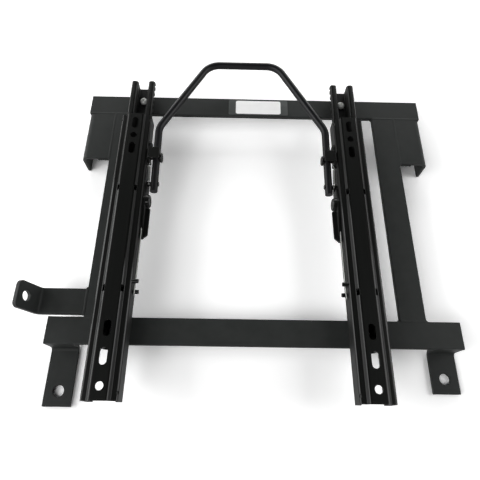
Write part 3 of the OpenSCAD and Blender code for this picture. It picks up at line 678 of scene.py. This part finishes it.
# %% [markdown]
# ## The bare label
#
# A white paper label on a strip of clear film is stuck on the front bar, off
# its middle. The label is bare here. Each is a thin plate with rounded corners,
# and the film, being only a tenth of a millimetre thick, shows by its greyer
# sheen on the black coat and by a faint ripple.

# %% Film and label materials
def coated_paper(name, dark, pale, smooth, rough, ripple_w, ripple_depth):
    """Paper or film whose slow ripple, in mm, bends the light that it returns."""
    material, tree, place = blank_material(name)
    ripple = add(tree, "ShaderNodeTexNoise",
                 inputs={"Vector": place, "Scale": 1 / (ripple_w * MM), "Detail": 2.0})
    tint = add(tree, "ShaderNodeMix", {"data_type": "RGBA"},
               {0: ripple.outputs["Fac"], 6: linear(dark), 7: linear(pale)})
    gloss = add(tree, "ShaderNodeMapRange",
                inputs={"Value": ripple.outputs["Fac"], "To Min": smooth, "To Max": rough})
    relief = add(tree, "ShaderNodeBump",
                 inputs={"Height": ripple.outputs["Fac"], "Strength": 0.4,
                         "Distance": ripple_depth * MM})
    shader = add(tree, "ShaderNodeBsdfPrincipled",
                 inputs={"Base Color": tint.outputs[2], "Roughness": gloss.outputs["Result"],
                         "Normal": relief.outputs["Normal"], "IOR": 1.5})
    add(tree, "ShaderNodeOutputMaterial", inputs={"Surface": shader.outputs[0]})
    return material


label_paper = coated_paper("white_label_paper", "F4F5F4", "FCFCFB",
                           smooth=0.45, rough=0.6, ripple_w=9.0, ripple_depth=0.05)
label_film = coated_paper("clear_film_on_black", "3C3F3E", "484B4A",
                          smooth=0.30, rough=0.45, ripple_w=6.0, ripple_depth=0.12)
print("made", label_paper.name, "and", label_film.name)

# %% Film and label plates
CORNER_STEPS = 6


def rounded_plate(name, low, high, corner, bottom, thick, material):
    """A thin plate with round corners, from its lower left and upper right corner in metres."""
    centres = [(high[0] - corner, high[1] - corner, 0), (low[0] + corner, high[1] - corner, 90),
               (low[0] + corner, low[1] + corner, 180), (high[0] - corner, low[1] + corner, 270)]
    rim = []
    for x, y, start in centres:
        for k in range(CORNER_STEPS + 1):
            turn = math.radians(start + 90 * k / CORNER_STEPS)
            rim.append((x + corner * math.cos(turn), y + corner * math.sin(turn)))
    shape = bmesh.new()
    base = shape.faces.new([shape.verts.new((x, y, bottom)) for x, y in rim])
    raised = bmesh.ops.extrude_face_region(shape, geom=[base])
    lifted = [v for v in raised["geom"] if isinstance(v, bmesh.types.BMVert)]
    bmesh.ops.translate(shape, verts=lifted, vec=(0, 0, thick))
    bmesh.ops.recalc_face_normals(shape, faces=shape.faces)
    mesh = bpy.data.meshes.new(name)
    shape.to_mesh(mesh)
    shape.free()
    mesh.materials.append(material)
    piece = bpy.data.objects.new(name, mesh)
    bpy.context.scene.collection.objects.link(piece)
    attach(piece, "base")
    return piece


bar_low, bar_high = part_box("front_crossbar")
LABEL_OFF = 4.4
LABEL_SIZE = (66.0, 24.0)
LABEL_CORNER = 3.0
LABEL_THICK = 0.15
FILM_SIZE = (87.0, 27.4)
FILM_CORNER = 2.0
FILM_THICK = 0.12
label_spot = (bar_low + bar_high) / 2 + Vector((LABEL_OFF * MM, 0, 0))


def strip_corners(size):
    """Lower left and upper right corner of a strip of that size in mm on the front bar."""
    half = Vector(size).to_3d() * MM / 2
    return label_spot - half, label_spot + half


film = rounded_plate("label_film", *strip_corners(FILM_SIZE), FILM_CORNER * MM,
                     bar_high.z, FILM_THICK * MM, label_film)
film_top = film.bound_box[1][2]
label = rounded_plate("bare_label", *strip_corners(LABEL_SIZE), LABEL_CORNER * MM,
                      film_top, LABEL_THICK * MM, label_paper)
print("label stands", round((label.bound_box[1][2] - bar_high.z) / MM, 2), "mm above the bar")

# %% [markdown]
# ## Floor
#
# The floor is plain white card. For the rays that the eye and the mirrors of
# the object see, its colour is raised until the open floor is paper white,
# while the shadow under the object stays. Far from the object it glows at just
# that white, so that no view ends in a dark floor. All other rays see the
# card's own colour, so the object gets no more light from it.

# %% Studio floor
FLOOR_HALF = 4.0
FLOOR_OWN = 0.85
FLOOR_SEEN = 1.3
FIBRE_W = 10 / 3
SHADOW_REACH = (0.6, 1.2)


def seen_rays(tree):
    """1 for the rays of the eye and of mirrors and glass, 0 for all others."""
    path = add(tree, "ShaderNodeLightPath")
    mirror = add(tree, "ShaderNodeMath", {"operation": "MAXIMUM"},
                 {0: path.outputs["Is Camera Ray"], 1: path.outputs["Is Glossy Ray"]})
    return add(tree, "ShaderNodeMath", {"operation": "MAXIMUM"},
               {0: mirror.outputs[0], 1: path.outputs["Is Transmission Ray"]}).outputs[0]


def floor_material():
    """Matt white card with a faint fibre, raised to paper white for the eye alone."""
    material, tree, place = blank_material("white_studio_card")
    seen = seen_rays(tree)
    fibre = add(tree, "ShaderNodeTexNoise",
                inputs={"Vector": place, "Scale": 1 / (FIBRE_W * MM), "Detail": 2.0})
    level = add(tree, "ShaderNodeMapRange",
                inputs={"Value": seen, "To Min": FLOOR_OWN, "To Max": FLOOR_SEEN})
    speck = add(tree, "ShaderNodeMapRange",
                inputs={"Value": fibre.outputs["Fac"], "To Min": 0.98, "To Max": 1.02})
    tint = add(tree, "ShaderNodeMath", {"operation": "MULTIPLY"},
               {0: level.outputs[0], 1: speck.outputs[0]})
    card = add(tree, "ShaderNodeBsdfDiffuse", inputs={"Color": tint.outputs[0]})
    away = add(tree, "ShaderNodeVectorMath", {"operation": "LENGTH"}, {0: place})
    far = add(tree, "ShaderNodeMapRange", {"interpolation_type": "SMOOTHSTEP"},
              {"Value": away.outputs["Value"],
               "From Min": SHADOW_REACH[0], "From Max": SHADOW_REACH[1]})
    share = add(tree, "ShaderNodeMath", {"operation": "MULTIPLY"}, {0: far.outputs["Result"], 1: seen})
    glow = add(tree, "ShaderNodeEmission", inputs={"Color": linear("FFFFFF"), "Strength": 1.0})
    shader = add(tree, "ShaderNodeMixShader",
                 inputs={0: share.outputs[0], 1: card.outputs[0], 2: glow.outputs[0]})
    add(tree, "ShaderNodeOutputMaterial", inputs={"Surface": shader.outputs[0]})
    return material


floor_mesh = bpy.data.meshes.new("floor")
ways = ((-1, -1), (1, -1), (1, 1), (-1, 1))
corners = [(FLOOR_HALF * x, FLOOR_HALF * y, cad_low.z) for x, y in ways]
floor_mesh.from_pydata(corners, [], [(0, 1, 2, 3)])
floor_mesh.materials.append(floor_material())
floor = bpy.data.objects.new("floor", floor_mesh)
bpy.context.scene.collection.objects.link(floor)
print("floor at z =", round(cad_low.z / MM, 2), "mm")

# %% [markdown]
# ## Light
#
# Four wide soft boxes stand around the object, the strongest on the left, with
# nothing bright straight overhead. So the flat tops mirror the dim ceiling
# and stay dark, every bend of the rails draws a thin line of a box, and the
# floor keeps a soft shadow beside each rail. Together they light the floor at
# a plain level. A backdrop round the floor is white for the eye and for the
# mirrors of the object, up to about 13 degrees above the level, fades out by 21,
# and lights nothing.

# %% Soft boxes
def soft_box(name, place, size, power):
    """A rectangular lamp at place, in metres, aimed at the object."""
    lamp = bpy.data.lights.new(name, "AREA")
    lamp.shape = "RECTANGLE"
    lamp.size, lamp.size_y = size
    lamp.energy = power
    box = bpy.data.objects.new(name, lamp)
    box.location = place
    box.rotation_euler = (-Vector(place)).to_track_quat("-Z", "Y").to_euler()
    bpy.context.scene.collection.objects.link(box)
    print(name, "gives", power, "W")


soft_box("left_box", place=(-2.2, 0.0, 0.9), size=(2.6, 1.7), power=59)
soft_box("rear_box", place=(-1.2, -1.2, 1.7), size=(1.6, 1.3), power=23)
soft_box("right_box", place=(1.95, 0.0, 1.3), size=(1.6, 1.6), power=30)
soft_box("front_box", place=(0.0, 2.2, 0.9), size=(3.6, 1.0), power=37)

# %% Backdrop and ceiling
BACKDROP_RISE = (0.22, 0.36)
CEILING = 0.02
world = bpy.data.worlds.new("dim_studio")
world.use_nodes = True
studio = world.node_tree
studio.nodes.clear()
way = add(studio, "ShaderNodeTexCoord")
rise = add(studio, "ShaderNodeSeparateXYZ", inputs={"Vector": way.outputs["Generated"]})
wall = add(studio, "ShaderNodeMapRange", {"interpolation_type": "SMOOTHSTEP"},
           {"Value": rise.outputs["Z"], "From Min": BACKDROP_RISE[0], "From Max": BACKDROP_RISE[1],
            "To Min": 1.0, "To Max": CEILING})
level = add(studio, "ShaderNodeMapRange",
            inputs={"Value": seen_rays(studio), "To Min": CEILING, "To Max": wall.outputs["Result"]})
room = add(studio, "ShaderNodeBackground",
           inputs={"Color": linear("FFFFFF"), "Strength": level.outputs["Result"]})
add(studio, "ShaderNodeOutputWorld", inputs={"Surface": room.outputs[0]})
bpy.context.scene.world = world
bpy.context.scene.view_settings.view_transform = "Standard"
print("world", world.name, "with a ceiling of", CEILING)

# %% [markdown]
# ## Camera
#
# The photograph was taken from above and a little behind the rear edge, looking
# down at about 66 degrees with a slightly wide lens. The place and angles were
# solved from the corners of the rails and bars, so the camera is set from them
# directly, from a corner of the rear bar.

# %% Camera
LENS = 31.96
SENSOR_W = 36.0
EYE_FROM_CORNER = Vector((217.59, -85.81, 530.2))
PITCH, YAW, ROLL = (math.radians(a) for a in (66.18, 1.66, -2.53))

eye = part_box("rear_crossbar")[0] * Vector((1, 1, 0)) + EYE_FROM_CORNER * MM
ahead = Vector((math.sin(YAW) * math.cos(PITCH), math.cos(YAW) * math.cos(PITCH), -math.sin(PITCH)))
across = Vector((math.cos(YAW), -math.sin(YAW), 0.0))
down = ahead.cross(across)
right = across * math.cos(ROLL) + down * math.sin(ROLL)
up = across * math.sin(ROLL) - down * math.cos(ROLL)
lens = bpy.data.cameras.new("camera")
lens.lens = LENS
lens.sensor_width = SENSOR_W
camera = bpy.data.objects.new("camera", lens)
camera.matrix_world = Matrix.Translation(eye) @ Matrix((right, up, -ahead)).transposed().to_4x4()
bpy.context.scene.collection.objects.link(camera)
bpy.context.scene.camera = camera
print("camera", round(eye.length, 3), "m from the middle of the floor print")
